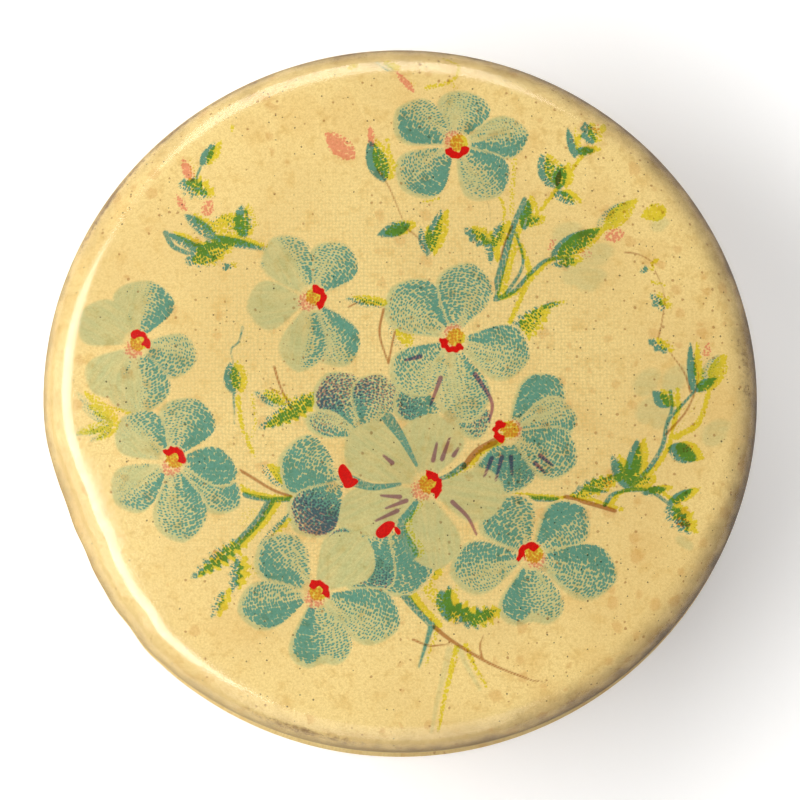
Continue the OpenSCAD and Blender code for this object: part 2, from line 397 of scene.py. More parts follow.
def draw_greenery(art):
    """Stems, leaves, buds and twigs, under the flowers."""
    # lower stems
    stroke(art, [(2.7, -18.0), (4.2, -19.2), (7.2, -21.0), (10.4, -22.3)], 0.42, TWIG, 0.5)
    stroke(art, [(1.0, -19.0), (2.3, -19.5), (3.9, -19.4)], 0.26, TWIG, 0.3)
    stroke(art, [(6.5, -20.6), (6.3, -19.5), (6.6, -18.6)], 0.26, TWIG)
    stroke(art, [(10.4, -22.3), (11.2, -22.4), (12.0, -22.6)], 0.22, TWIG)
    stroke(art, [(3.9, -19.8), (3.4, -22.0), (2.9, -24.2), (2.5, -26.6)], 0.55, {"yellow": 0.75, "pale": 0.35}, 0.5)
    stroke(art, [(4.6, -19.6), (5.3, -21.2), (6.3, -23.0)], 0.5, {"yellow": 0.75, "pale": 0.4}, 0.5)
    stroke(art, [(2.5, -17.8), (2.1, -19.2), (1.5, -21.2)], 0.6, {"teal": 0.75, "yellow": 0.5, "pale": 0.6}, 0.6)
    stroke(art, [(0.3, -15.3), (1.1, -16.4), (2.6, -18.0)], 0.75, DARK_STEM, 0.4)
    blob(art, (2.3, -13.6), 0.9, {"yellow": 0.85, "teal": 0.3}, 60, 0.7)
    blob(art, (1.9, -12.9), 0.75, {"teal": 0.85, "yellow": 0.9}, 20, 0.6)
    leaf(art, (3.2, -15.0), (3.8, -17.6), 1.3, 0.9, 1.0)
    leaf(art, (3.6, -16.2), (5.9, -17.9), 1.4, 0.8, 1.0, saw=0.3)
    leaf(art, (5.0, -17.9), (7.6, -16.6), 1.4, 0.75, 1.0, saw=0.4)
    leaf(art, (3.9, -14.6), (3.6, -16.2), 0.5, 0.8, 0.4)
    stroke(art, [(0.6, -11.0), (0.9, -13.4), (2.0, -15.4), (3.6, -17.4)], 1.5, {"yellow": 0.6, "teal": 0.2}, 0.4)

    # branch to the right
    stroke(art, [(8.0, -7.6), (10.2, -7.7), (12.3, -7.8)], 0.62, DARK_STEM, 0.35)
    stroke(art, [(13.0, -7.6), (14.9, -8.1), (16.9, -8.7)], 0.46, {"brown": 0.9, "yellow": 0.9}, 0.2)
    stroke(art, [(16.1, -8.2), (16.7, -7.4), (17.9, -7.0)], 0.42, DARK_STEM, 0.3)
    stroke(art, [(17.9, -7.0), (19.6, -7.1), (21.0, -8.0), (22.2, -9.0)], 0.42, GREEN, 0.4)
    stroke(art, [(17.9, -7.0), (19.5, -5.4), (20.6, -3.6), (21.0, -1.8), (21.4, -0.6), (21.3, 0.9)], 0.46, GREEN, 0.3)
    stroke(art, [(20.9, -2.6), (22.6, -0.6), (23.5, 1.9), (23.1, 3.6)], 0.3, {"brown": 0.8, "yellow": 0.3}, 0.4)
    stroke(art, [(21.2, -2.9), (22.9, -1.8), (23.7, 0.4), (24.1, 2.6)], 0.55, {"yellow": 0.9, "teal": 0.15}, 0.4)
    stroke(art, [(21.1, -1.4), (22.4, 0.0), (23.2, 0.9)], 0.3, {"teal": 0.9, "yellow": 0.3}, 0.3)
    leaf(art, (13.4, -7.6), (17.2, -5.9), 1.3, 0.5, 0.9, saw=0.25)
    leaf(art, (16.4, -7.2), (13.9, -6.8), 0.35, 0.9, 0.4)
    leaf(art, (17.9, -7.0), (16.6, -4.2), 1.1, 0.85, 0.9, {"brown": 0.25})
    leaf(art, (18.1, -6.8), (18.7, -2.9), 1.3, 0.9, 1.0)
    leaf(art, (18.3, -6.9), (19.8, -6.0), 0.9, 0.4, 0.9)
    leaf(art, (19.0, -7.3), (21.0, -6.9), 0.75, 0.9, 0.9)
    leaf(art, (21.0, -8.2), (23.1, -6.9), 0.8, 0.95, 1.0)
    leaf(art, (20.9, -8.3), (22.9, -10.6), 1.4, 0.7, 1.0, saw=0.3)
    leaf(art, (21.1, -3.6), (23.4, -4.6), 1.6, 0.95, 1.0)
    leaf(art, (23.2, 0.9), (25.0, 2.0), 0.9, 0.95, 1.0)
    leaf(art, (23.1, 0.6), (22.9, 4.9), 0.75, 0.95, 0.9)
    leaf(art, (24.0, 1.2), (25.2, 3.9), 1.5, 0.12, 0.8, {"pale": 0.5})
    leaf(art, (21.2, -0.4), (19.9, 0.9), 1.2, 0.9, 0.9, {"brown": 0.2})
    for spot in [(19.4, 1.6), (20.6, -1.0), (19.6, -0.6), (21.6, 1.9), (24.8, -2.4)]:
        blob(art, spot, 1.5, {"pale": 0.42}, 40, 0.8, 0.4)
    blob(art, (24.2, 4.2), 0.7, {"pink": 0.5}, 70, 0.6)
    blob(art, (22.6, -3.7), 0.6, {"pink": 0.4, "mauve": 0.2}, 20, 0.6)
    blob(art, (22.2, -9.6), 0.75, {"pink": 0.55}, -20, 0.7)
    blob(art, (16.3, -6.4), 0.6, {"pink": 0.4}, 80, 0.8)
    blob(art, (22.4, -11.2), 0.9, {"pale": 0.4}, -40, 0.6)
    stroke(art, [(22.9, 0.8), (22.4, 2.4), (21.3, 4.0)], 0.30, {"brown": 0.8}, 0.3)
    leaf(art, (21.1, 4.0), (19.5, 5.1), 0.8, 0.7, 0.8, saw=0.3)
    stroke(art, [(20.4, 5.2), (20.7, 6.6), (20.9, 8.6), (20.2, 10.6)], 0.24, {"brown": 0.8}, 0.2)
    leaf(art, (20.9, 7.4), (19.8, 8.8), 0.9, 0.65, 0.7, saw=0.3)
    stroke(art, [(17.8, 12.1), (19.0, 11.9), (20.2, 11.2)], 0.24, {"brown": 0.8}, 0.2)
    blob(art, (19.6, 11.2), 0.45, {"yellow": 0.9}, 40, 0.6)
    leaf(art, (19.6, 11.0), (19.0, 10.4), 0.6, 0.7, 0.5)
    stroke(art, [(19.4, 9.6), (20.4, 9.3)], 0.3, {"yellow": 0.7}, 0.2)

    # sprays above the middle
    stroke(art, [(7.4, 8.4), (8.2, 11.4), (9.0, 14.2), (9.9, 16.4)], 0.75, {"teal": 0.8, "yellow": 0.75}, 0.4)
    stroke(art, [(8.2, 8.4), (9.7, 11.0), (9.2, 13.6)], 0.34, {"teal": 0.85}, 0.3)
    stroke(art, [(7.6, 8.2), (9.0, 8.9), (10.2, 10.2), (11.6, 11.4), (13.4, 11.6)], 0.40, DARK_STEM, 0.2)
    stroke(art, [(6.2, 17.6), (7.0, 15.9), (7.2, 14.0)], 0.36, {"brown": 0.55, "teal": 0.5}, 0.2)
    stroke(art, [(6.9, 17.4), (7.7, 15.6), (7.6, 13.8)], 0.3, {"yellow": 0.85}, 0.3)
    stroke(art, [(8.9, 14.2), (8.3, 12.8), (7.9, 11.4)], 0.3, {"brown": 0.8, "yellow": 0.4}, 0.2)
    leaf(art, (7.2, 12.6), (5.0, 14.0), 1.2, 0.7, 0.9, saw=0.25)
    leaf(art, (7.3, 12.4), (8.2, 14.6), 1.0, 0.6, 0.9, saw=0.2)
    leaf(art, (6.9, 13.0), (7.2, 11.0), 0.7, 0.7, 0.9)
    stroke(art, [(9.6, 14.2), (10.9, 15.8), (12.4, 17.8), (14.2, 20.2)], 0.4, {"yellow": 0.9, "teal": 0.35}, 0.1)
    leaf(art, (9.8, 13.8), (10.2, 16.4), 1.0, 0.85, 0.7)
    leaf(art, (9.9, 14.2), (11.1, 14.9), 0.8, 0.7, 0.9)
    leaf(art, (12.3, 17.3), (11.2, 20.2), 1.6, 0.7, 0.7)
    leaf(art, (12.6, 17.2), (12.9, 19.4), 1.2, 0.85, 1.0)
    leaf(art, (12.5, 17.4), (12.8, 19.0), 0.5, 0.0, 0.0, {"brown": 0.8})
    leaf(art, (12.2, 17.0), (14.0, 16.0), 1.0, 0.7, 0.8)
    leaf(art, (14.0, 19.8), (13.4, 22.4), 0.7, 0.9, 0.5)
    leaf(art, (13.8, 20.3), (15.6, 20.5), 0.8, 0.95, 0.9)
    leaf(art, (15.4, 21.0), (14.8, 23.0), 1.3, 0.75, 0.7, saw=0.2)
    blob(art, (15.8, 22.4), 0.6, {"yellow": 0.9, "pink": 0.4}, 60, 0.6)
    blob(art, (13.7, 21.3), 0.5, {"yellow": 0.9, "pink": 0.35}, 60, 0.6)
    leaf(art, (14.0, 11.5), (11.9, 11.0), 0.9, 0.6, 0.8, saw=0.2)
    leaf(art, (11.9, 11.7), (15.9, 14.0), 1.6, 0.8, 0.9)
    leaf(art, (15.6, 13.8), (18.4, 16.4), 1.5, 0.15, 0.95, {"pale": 0.3})
    leaf(art, (20.7, 15.6), (18.6, 14.9), 1.5, 0.0, 0.95)
    blob(art, (17.0, 13.5), 0.9, {"pink": 0.6}, 10, 0.8)
    blob(art, (12.0, 12.7), 0.7, {"pink": 0.45}, 60, 0.5)
    blob(art, (14.6, 12.1), 0.8, {"pink": 0.35}, -30, 0.6)
    for spot in [(15.6, 11.9), (13.9, 10.4), (13.2, 13.6), (15.0, 9.9)]:
        blob(art, spot, 1.5, {"pale": 0.4}, 20, 0.8, 0.4)
    blob(art, (20.6, 14.4), 0.9, {"pale": 0.35}, 20, 0.8, 0.4)
    leaf(art, (8.5, 4.6), (11.4, 7.8), 1.7, 0.5, 0.9, saw=0.2)
    leaf(art, (11.1, 7.5), (12.7, 8.0), 0.5, 0.7, 0.7)
    stroke(art, [(9.0, 12.4), (9.6, 10.0), (8.0, 6.0)], 0.5, {"yellow": 0.9}, 0.2)
    stroke(art, [(8.6, 20.6), (8.4, 17.6), (8.3, 15.0)], 0.6, {"yellow": 0.5}, 0.3)

    # bud and sprig above the second flower
    stroke(art, [(-1.8, 18.8), (-0.9, 17.4), (0.2, 14.7)], 0.3, {"brown": 0.75, "teal": 0.25}, 0.2)
    stroke(art, [(0.4, 14.0), (1.4, 13.2), (2.0, 12.2)], 0.3, {"brown": 0.75}, 0.2)
    leaf(art, (-1.2, 17.8), (-2.5, 21.3), 1.7, 0.85, 0.75)
    leaf(art, (-3.6, 19.7), (-6.0, 22.0), 1.7, 0.0, 0.0, {"pink": 0.8})
    leaf(art, (-2.2, 20.6), (-2.4, 22.6), 0.6, 0.0, 0.0, {"pink": 0.8})
    stroke(art, [(-1.6, 21.2), (-1.2, 19.4), (0.0, 19.0), (0.4, 20.0)], 0.4, {"yellow": 0.7}, 0.3)
    leaf(art, (0.8, 14.3), (-1.8, 13.4), 1.2, 0.95, 0.8)
    leaf(art, (2.1, 11.6), (3.3, 15.6), 1.1, 0.7, 1.0)
    leaf(art, (2.1, 11.8), (1.6, 14.2), 0.8, 0.6, 0.9)
    stroke(art, [(1.3, 16.0), (2.6, 16.3)], 0.25, {"yellow": 0.7}, 0.2)

    # loose sprig at the upper left
    leaf(art, (-15.9, 19.1), (-14.8, 21.2), 0.9, 0.85, 0.9)
    stroke(art, [(-15.9, 19.1), (-16.2, 18.2), (-16.1, 16.6)], 0.3, {"teal": 0.8}, 0.3)
    leaf(art, (-17.6, 17.9), (-15.2, 16.6), 1.5, 0.7, 0.8, saw=0.3)
    leaf(art, (-17.1, 15.2), (-14.0, 12.6), 1.1, 0.8, 0.6)
    leaf(art, (-15.2, 14.6), (-12.2, 13.6), 2.0, 0.1, 0.8)
    leaf(art, (-12.4, 13.2), (-12.6, 16.0), 1.4, 0.85, 0.6, saw=0.2)
    leaf(art, (-15.4, 13.4), (-10.4, 12.2), 0.75, 0.95, 0.8)
    leaf(art, (-18.6, 13.7), (-14.4, 11.4), 0.8, 0.9, 0.7)
    leaf(art, (-17.0, 11.2), (-13.4, 12.8), 1.9, 0.65, 0.9, saw=0.2)
    blob(art, (-13.7, 10.9), 0.4, {"teal": 0.8, "yellow": 0.5})
    stroke(art, [(-18.6, 13.7), (-18.0, 12.6), (-16.8, 12.0)], 0.5, {"teal": 0.85}, 0.2)
    leaf(art, (-16.5, 17.9), (-17.4, 19.9), 0.9, 0.0, 0.3, {"pink": 0.75})
    leaf(art, (-16.9, 15.4), (-17.9, 16.9), 0.6, 0.0, 0.0, {"pink": 0.7})
    blob(art, (-15.3, 15.7), 0.75, {"pink": 0.65}, 70, 0.8)
    leaf(art, (-11.1, 10.9), (-8.9, 11.4), 1.0, 0.25, 0.95, saw=0.2)
    blob(art, (-14.0, 22.2), 0.4, {"yellow": 0.7}, 80, 0.5)

    # top edge
    stroke(art, [(1.6, 25.6), (3.6, 26.2), (4.2, 27.6), (3.0, 28.6)], 0.4, {"yellow": 0.7}, 0.3)
    leaf(art, (1.2, 25.3), (-0.4, 27.2), 0.6, 0.0, 0.2, {"pink": 0.75})
    leaf(art, (-0.4, 27.2), (-2.0, 28.2), 0.8, 0.15, 0.8, {"pale": 0.4})
    stroke(art, [(3.6, 26.0), (4.4, 24.8), (4.9, 23.6)], 0.4, {"yellow": 0.45}, 0.4)
    blob(art, (-4.4, 27.6), 0.6, {"yellow": 0.6}, 30, 0.6)

    # between the left flowers and the middle
    stroke(art, [(-1.3, 7.4), (-1.6, 5.4), (-0.9, 3.0)], 0.26, TWIG, 0.2)
    stroke(art, [(-0.4, 5.6), (-0.7, 4.2), (-0.9, 3.0)], 0.22, TWIG, 0.1)
    stroke(art, [(-4.1, 7.6), (-2.8, 8.0), (-1.2, 7.4)], 0.26, {"brown": 0.8}, 0.2)
    leaf(art, (-1.2, 7.7), (-4.4, 8.3), 0.8, 0.5, 0.9)
    leaf(art, (0.2, 4.2), (-0.6, 7.0), 1.5, 0.05, 0.8)
    stroke(art, [(-9.9, 2.8), (-9.4, 1.2), (-8.5, -0.6)], 0.26, TWIG, 0.2)
    stroke(art, [(-10.2, 1.1), (-9.4, 0.6)], 0.2, TWIG, 0.2)
    leaf(art, (-9.0, -0.2), (-11.5, 0.8), 1.2, 0.45, 0.7, {"pale": 0.3})
    leaf(art, (-6.5, 0.6), (-11.2, -2.2), 1.6, 0.6, 0.9, saw=0.25)
    stroke(art, [(-12.4, 6.0), (-12.7, 4.8), (-13.3, 4.2), (-13.1, 3.0)], 0.26, {"teal": 0.8, "yellow": 0.3}, 0.3)
    leaf(art, (-13.0, 0.6), (-13.4, 3.2), 1.4, 0.75, 0.85)
    stroke(art, [(-13.1, 1.0), (-13.0, -1.8)], 0.3, {"teal": 0.8}, 0.5)
    stroke(art, [(-13.3, 0.2), (-12.9, -2.2), (-12.0, -4.4)], 0.5, {"yellow": 0.8}, 0.4)
    stroke(art, [(-12.2, 0.4), (-11.9, -1.6), (-12.2, -3.0)], 0.4, {"yellow": 0.5}, 0.4)

    # left edge sprays
    for end in [(-25.6, 0.9), (-25.2, -0.3), (-26.2, -2.6), (-24.6, -3.2)]:
        leaf(art, (-22.6, -1.6), end, 1.0, 0.12, 0.7, {"pale": 0.3})
    stroke(art, [(-20.8, -1.4), (-22.4, -0.8), (-24.2, -0.4)], 0.35, {"yellow": 0.8}, 0.3)
    stroke(art, [(-20.6, -2.2), (-23.0, -2.3), (-25.6, -2.4)], 0.4, {"yellow": 0.8}, 0.3)

    # stems and fern leaves at the lower left
    stroke(art, [(-14.3, -4.5), (-12.0, -5.8), (-9.6, -7.2), (-6.8, -7.9)], 0.36, {"brown": 0.8, "teal": 0.4}, 0.1)
    stroke(art, [(-14.0, -6.3), (-12.2, -7.4), (-9.8, -7.8), (-6.6, -7.6)], 0.5, GREEN, 0.1)
    leaf(art, (-8.6, -6.9), (-11.0, -5.0), 1.2, 0.3, 0.9)
    blob(art, (-8.7, -5.9), 1.1, {"yellow": 0.7, "teal": 0.15}, 40, 0.8)
    stroke(art, [(-10.2, -8.0), (-11.2, -9.6), (-12.8, -11.3)], 0.75, DARK_STEM, 0.2)
    leaf(art, (-12.2, -10.8), (-16.6, -14.2), 1.2, 0.7, 1.0, saw=0.45)
    leaf(art, (-12.7, -12.3), (-13.2, -15.3), 1.0, 0.7, 0.9, saw=0.4)
    leaf(art, (-13.9, -15.0), (-14.9, -17.4), 0.8, 0.5, 0.95, saw=0.3)
    leaf(art, (-8.6, -8.8), (-11.2, -11.6), 0.5, 0.6, 0.8)
    stroke(art, [(-8.4, -8.6), (-9.8, -10.2), (-11.0, -12.0)], 0.34, {"teal": 0.6, "yellow": 0.7}, 0.4)
    for spot in [(-9.2, -9.6), (-10.6, -8.6), (-12.4, -9.2), (-11.6, -13.2)]:
        blob(art, spot, 1.6, {"yellow": 0.28}, 30, 0.8, 0.7)


def draw_flower(art, centre, facing, petals, size=0.86):
    for spec in petals:
        petal(art, centre, *spec[:5], **(spec[5] if len(spec) > 5 else {}))
    if facing is not None:
        eye(art, centre, facing, size)


def draw_flowers(art):
    """The flowers, from the ones at the back to the ones in front.
    A petal is angle, length, width, tone and lean, with extras in a dict."""
    draw_flower(art, (4.5, 20.9), -85, [
        (76, 4.8, 4.0, 0.28, -0.30, {"notch": 0.06}),
        (146, 5.4, 3.9, 0.50, 0.45),
        (10, 5.9, 3.5, 0.30, -0.60),
        (-48, 5.4, 4.0, 0.40, 0.45),
        (222, 5.4, 4.2, 0.52, 0.40),
    ])
    draw_flower(art, (-6.9, 8.3), 15, [
        (58, 5.1, 3.8, 0.50, -0.20),
        (-60, 6.0, 3.6, 0.30, 0.60),
        (120, 5.7, 3.7, 0.0, -0.50),
        (188, 4.9, 3.8, 0.0, 0.0),
        (261, 5.8, 3.4, 0.02, 0.60),
    ])
    draw_flower(art, (-20.8, 4.7), 50, [
        (78, 5.2, 4.6, 0.10, -0.75),
        (146, 4.9, 3.8, 0.0, 0.0),
        (231, 4.9, 3.6, 0.0, 0.0),
        (-16, 5.0, 3.5, 0.42, -0.15),
        (277, 5.5, 4.6, 0.12, 0.50),
    ])
    draw_flower(art, (-17.9, -4.7), 60, [
        (-34, 6.4, 3.2, 0.62, 0.30),
        (0, 5.2, 3.0, 0.95, 0.0, {"curl": -1.0}),
        (68, 5.3, 4.3, 0.50, -0.35),
        (138, 5.1, 3.9, 0.12, -0.55),
        (-80, 6.4, 4.0, 0.50, 0.20),
        (216, 5.6, 3.8, 0.20, 0.45),
    ])
    # half-hidden flowers behind the middle
    draw_flower(art, (-2.9, -2.8), None, [
        (118, 5.7, 4.0, 0.62, 0.2, {"mauve": 0.75}),
        (72, 5.2, 3.8, 0.52, 0.2, {"mauve": 0.65}),
        (160, 4.6, 1.9, 0.35, 0.3, {"mauve": 0.45}),
    ])
    draw_flower(art, (-4.3, -6.2), None, [
        (160, 5.2, 4.8, 0.72, 0.2),
        (228, 5.4, 4.0, 0.98, 0.0, {"mauve": 0.95}),
    ])
    draw_flower(art, (-1.0, -10.0), None, [
        (205, 5.4, 3.0, 0.95, 0.0, {"mauve": 0.9}),
        (-70, 5.6, 4.8, 0.80, 0.1, {"mauve": 0.25}),
        (-115, 5.6, 4.4, 0.92, 0.0, {"mauve": 0.5}),
        (40, 3.4, 1.9, 0.90, 0.0),
    ])
    draw_flower(art, (10.3, -12.3), 125, [
        (120, 5.3, 4.4, 0.70, 0.0),
        (42, 5.7, 3.9, 0.68, 0.35),
        (192, 6.2, 4.1, 0.42, -0.35),
        (-15, 7.0, 4.3, 0.66, 0.20),
        (-87, 5.9, 4.9, 0.48, -0.35, {"notch": 0.22}),
    ])
    draw_flower(art, (8.4, -2.4), 180, [
        (45, 6.0, 3.7, 0.70, 0.30),
        (14, 5.7, 3.6, 0.35, -0.45),
        (-92, 4.9, 4.6, 0.85, 0.0, {"mauve": 0.35}),
        (-25, 6.0, 4.0, 0.68, 0.0, {"mauve": 0.12}),
    ])
    draw_flower(art, (3.6, -1.4), None, [
        (150, 4.4, 3.2, 0.75, 0.2, {"mauve": 0.5}),
        (48, 4.6, 3.4, 0.70, 0.2, {"mauve": 0.5}),
        (0, 3.6, 3.0, 0.70, 0.2, {"mauve": 0.6}),
    ])
    draw_flower(art, (4.2, 5.0), -110, [
        (138, 6.2, 4.5, 0.48, -0.25),
        (76, 6.3, 4.3, 0.58, 0.0),
        (-14, 6.2, 4.3, 0.45, 0.25),
        (222, 5.8, 4.0, 0.40, -0.20),
        (-79, 6.7, 4.0, 0.34, 0.15),
    ])
    draw_flower(art, (-6.6, -15.3), 55, [
        (132, 5.8, 4.2, 0.52, 0.35),
        (193, 6.0, 3.8, 0.66, 0.25),
        (-22, 7.1, 4.3, 0.46, 0.30),
        (-83, 6.3, 4.7, 0.52, -0.35, {"notch": 0.2}),
        (48, 5.8, 4.2, 0.0, 0.0),
    ])
    draw_flower(art, (2.1, -6.7), 20, [
        (145, 7.2, 4.5, 0.0, 0.0),
        (80, 5.7, 4.8, 0.0, 0.0),
        (-10, 6.1, 4.0, 0.0, 0.0),
        (-82, 6.6, 4.3, 0.0, 0.0),
        (203, 7.3, 3.8, 0.0, 0.0),
    ], 0.95)
    # dark spokes that part the front flower's petals
    spoke = {"teal": 1.0}
    stroke(art, [(-0.9, -1.4), (0.2, -3.0), (1.3, -5.1)], 0.95, spoke, 0.75)
    stroke(art, [(-4.1, -6.2), (-2.2, -6.8), (0.0, -6.6)], 0.85, spoke, 0.7)
    stroke(art, [(0.9, -12.0), (0.1, -9.9), (1.3, -8.0)], 1.1, {"teal": 1.0, "yellow": 0.5}, 0.75)
    stroke(art, [(5.0, -5.1), (4.0, -5.8), (3.1, -6.2)], 0.5, {"teal": 1.0, "yellow": 0.6}, 0.4)
    stroke(art, [(7.4, -3.2), (6.0, -4.0), (5.0, -5.2)], 0.6, {"yellow": 1.0, "brown": 1.0}, 0.3)
    # red glimpses of two hidden centres
    blob(art, (-4.3, -5.9), 0.85, {"red": 1.0}, 110, 0.6, 0.12)
    blob(art, (-3.9, -6.5), 0.6, {"red": 1.0}, 20, 0.6, 0.12)
    blob(art, (-1.2, -10.2), 0.85, {"red": 1.0}, 40, 0.6, 0.12)
    blob(art, (-0.2, -10.3), 0.35, {"red": 1.0}, 120, 0.6, 0.2)


def draw_details(art):
    """Mauve streaks on the petals, and the age marks of the paper."""
    streak = {"mauve": 1.0}
    for line in [
        [(2.6, -4.7), (2.9, -3.3)], [(3.3, -4.6), (3.9, -2.9)], [(4.2, -4.3), (4.6, -3.7)],
        [(0.0, -7.6), (-1.5, -7.5)], [(0.5, -7.9), (-1.1, -8.5)], [(-0.2, -8.7), (-1.9, -9.5)],
        [(-0.6, -4.9), (-1.3, -4.3)], [(4.1, -8.0), (5.3, -9.2), (6.0, -10.6)],
        [(7.2, -4.5), (6.6, -6.0)], [(8.0, -4.4), (7.5, -6.3)], [(8.7, -4.4), (8.8, -5.9)],
        [(11.0, -4.3), (12.0, -5.1)], [(10.6, -4.9), (11.4, -5.7)], [(1.6, 3.6), (0.4, 3.3)],
        [(3.2, 1.9), (2.4, -0.3)], [(5.9, 2.2), (7.2, 0.0), (7.0, -1.6)],
    ]:
        stroke(art, line, 0.36, streak, 0.5)
    for line in [
        [(14.3, 7.2), (16.2, 2.8), (17.7, -1.5)], [(-21.6, -9.9), (-20.2, -12.6), (-18.6, -15.2)],
        [(15.7, 14.4), (17.8, 11.8)], [(13.6, -0.1), (15.2, -0.1)],
    ]:
        stroke(art, line, 0.13, {"stain": 0.6}, 0.3)


# Angle and spread in degrees, distance from the middle and spread in mm, strength
GRIME = [
    (128, 26, 28.9, 0.5, 0.9),
    (150, 14, 28.6, 0.6, 0.6),
    (90, 22, 29.2, 0.7, 0.5),
    (3, 8, 27.7, 1.0, 0.8),
    (335, 22, 28.7, 0.7, 0.3),
    (299, 14, 28.2, 0.7, 0.5),
    (254, 13, 28.2, 0.6, 0.9),
    (40, 24, 28.8, 0.8, 0.5),
    (275, 60, 28.9, 0.7, 0.25),
]


def rim_grime(x, y):
    """Where dirt has gathered on the rolled edge."""
    turn = np.degrees(np.arctan2(y, x))
    out = np.hypot(x, y)
    total = np.zeros_like(x)
    for angle, wide, place, deep, strength in GRIME:
        off = (turn - angle + 180) % 360 - 180
        total += strength * np.exp(-((off / wide) ** 2) - ((out - place) / deep) ** 2)
    return total


def draw_picture(x, y):
    art = Print(x, (y + 0.62) / 0.988)
    draw_greenery(art)
    draw_flowers(art)
    draw_details(art)
    art.ink["grime"] = rim_grime(x, y)
    far = np.hypot(x / 21.0, (y + 1.0) / 20.0)
    art.ink["halo"] = 0.9 * smooth((1.15 - far) / 0.55) * (1 - art.ink["pale"])
    return art


# ---------------------------------------------------------------- node helper


class Graph:
    """The nodes of one material."""

    def __init__(self, name):
        self.material = bpy.data.materials.new(name)
        self.material.use_nodes = True
        self.tree = self.material.node_tree
        self.tree.nodes.clear()

    def put(self, socket, value):
        if isinstance(value, bpy.types.NodeSocket):
            self.tree.links.new(value, socket)
        elif socket.type == "RGBA" and len(value) == 3:
            socket.default_value = (*value, 1.0)
        else:
            socket.default_value = value

    def add(self, kind, inputs=None, out=0, **settings):
        node = self.tree.nodes.new(kind)
        for key, value in settings.items():
            setattr(node, key, value)
        for key, value in (inputs or {}).items():
            self.put(node.inputs[key], value)
        return node.outputs[out]

    def math(self, operation, a, b=0.0, clamp=False):
        return self.add("ShaderNodeMath", {0: a, 1: b}, operation=operation, use_clamp=clamp)

    def attribute(self, name):
        return self.add("ShaderNodeAttribute", out="Vector", attribute_name=name)

    def split(self, vector):
        node = self.tree.nodes.new("ShaderNodeSeparateXYZ")
        self.put(node.inputs[0], vector)
        return list(node.outputs)

    def scaled(self, vector, factors):
        return self.add("ShaderNodeVectorMath", {0: vector, 1: factors}, operation="MULTIPLY")

    def noise(self, vector, scale, detail=2.0, rough=0.5):
        return self.add("ShaderNodeTexNoise", {"Vector": vector, "Scale": scale, "Detail": detail, "Roughness": rough})

    def cells(self, vector, scale, randomness=1.0, out="Distance"):
        inputs = {"Vector": vector, "Scale": scale, "Randomness": randomness}
        return self.add("ShaderNodeTexVoronoi", inputs, out, voronoi_dimensions="2D")

    def ramp(self, value, low, high, to_low=0.0, to_high=1.0):
        return self.add(
            "ShaderNodeMapRange",
            {"Value": value, "From Min": low, "From Max": high, "To Min": to_low, "To Max": to_high},
            interpolation_type="SMOOTHSTEP",
        )

    def mix(self, share, a, b, blend="MIX"):
        node = self.tree.nodes.new("ShaderNodeMix")
        node.data_type, node.blend_type, node.clamp_factor = "RGBA", blend, True
        self.put(node.inputs[0], share)
        self.put(node.inputs[6], a)
        self.put(node.inputs[7], b)
        return node.outputs[2]

    def bump(self, height, distance, strength=1.0, normal=None):
        inputs = {"Height": height, "Distance": distance, "Strength": strength}
        if normal is not None:
            inputs["Normal"] = normal
        return self.add("ShaderNodeBump", inputs)

    def surface(self, shader):
        out = self.tree.nodes.new("ShaderNodeOutputMaterial")
        self.tree.links.new(shader, out.inputs["Surface"])
        return self.material

    def principled(self, **inputs):
        named = {key.replace("_", " "): value for key, value in inputs.items()}
        return self.surface(self.add("ShaderNodeBsdfPrincipled", named))


def linear(r, g, b):
    """Screen colour, 0 to 255, as a linear one."""
    return tuple(((c / 255 + 0.055) / 1.055) ** 2.4 if c > 10 else c / 3294.6 for c in (r, g, b))


PAPER_COLOUR = (246, 220, 150)


def ink_filter(r, g, b):
    """What an ink lets through, from the colour that it makes on the paper."""
    return tuple(min(1.0, c / p) for c, p in zip(linear(r, g, b), linear(*PAPER_COLOUR)))


# Cells a mm, size as a share of a cell, share of cells with a spot, strength, colour
STAINS = [
    (0.22, 0.40, 0.30, 0.16, (214, 166, 88)),
    (0.55, 0.28, 0.20, 0.32, (206, 142, 66)),
    (1.30, 0.15, 0.13, 0.62, (160, 100, 42)),
    (1.90, 0.13, 0.06, 0.85, (72, 52, 28)),
]


def stain_spots(g, flat, blotchy, scale, size, share, strength):
    """Round stains in some of the cells of a random pattern, more of them where the paper is blotchy."""
    node = g.tree.nodes.new("ShaderNodeTexVoronoi")
    node.voronoi_dimensions = "2D"
    g.put(node.inputs["Vector"], flat)
    g.put(node.inputs["Scale"], scale)
    pick, vary, _ = g.split(node.outputs["Color"])
    chosen = g.math("LESS_THAN", pick, g.ramp(blotchy, 0.40, 0.62, share * 0.45, share * 1.9))
    ragged = g.math("ADD", node.outputs["Distance"], g.math("MULTIPLY", g.noise(flat, scale * 4, 4.0, 0.7), size * 1.8))
    near = g.math("MULTIPLY", vary, size * 0.8)
    spot = g.ramp(g.math("SUBTRACT", ragged, near), size * 1.5, size * 0.9)
    return g.math("MULTIPLY", g.math("MULTIPLY", spot, chosen), strength)


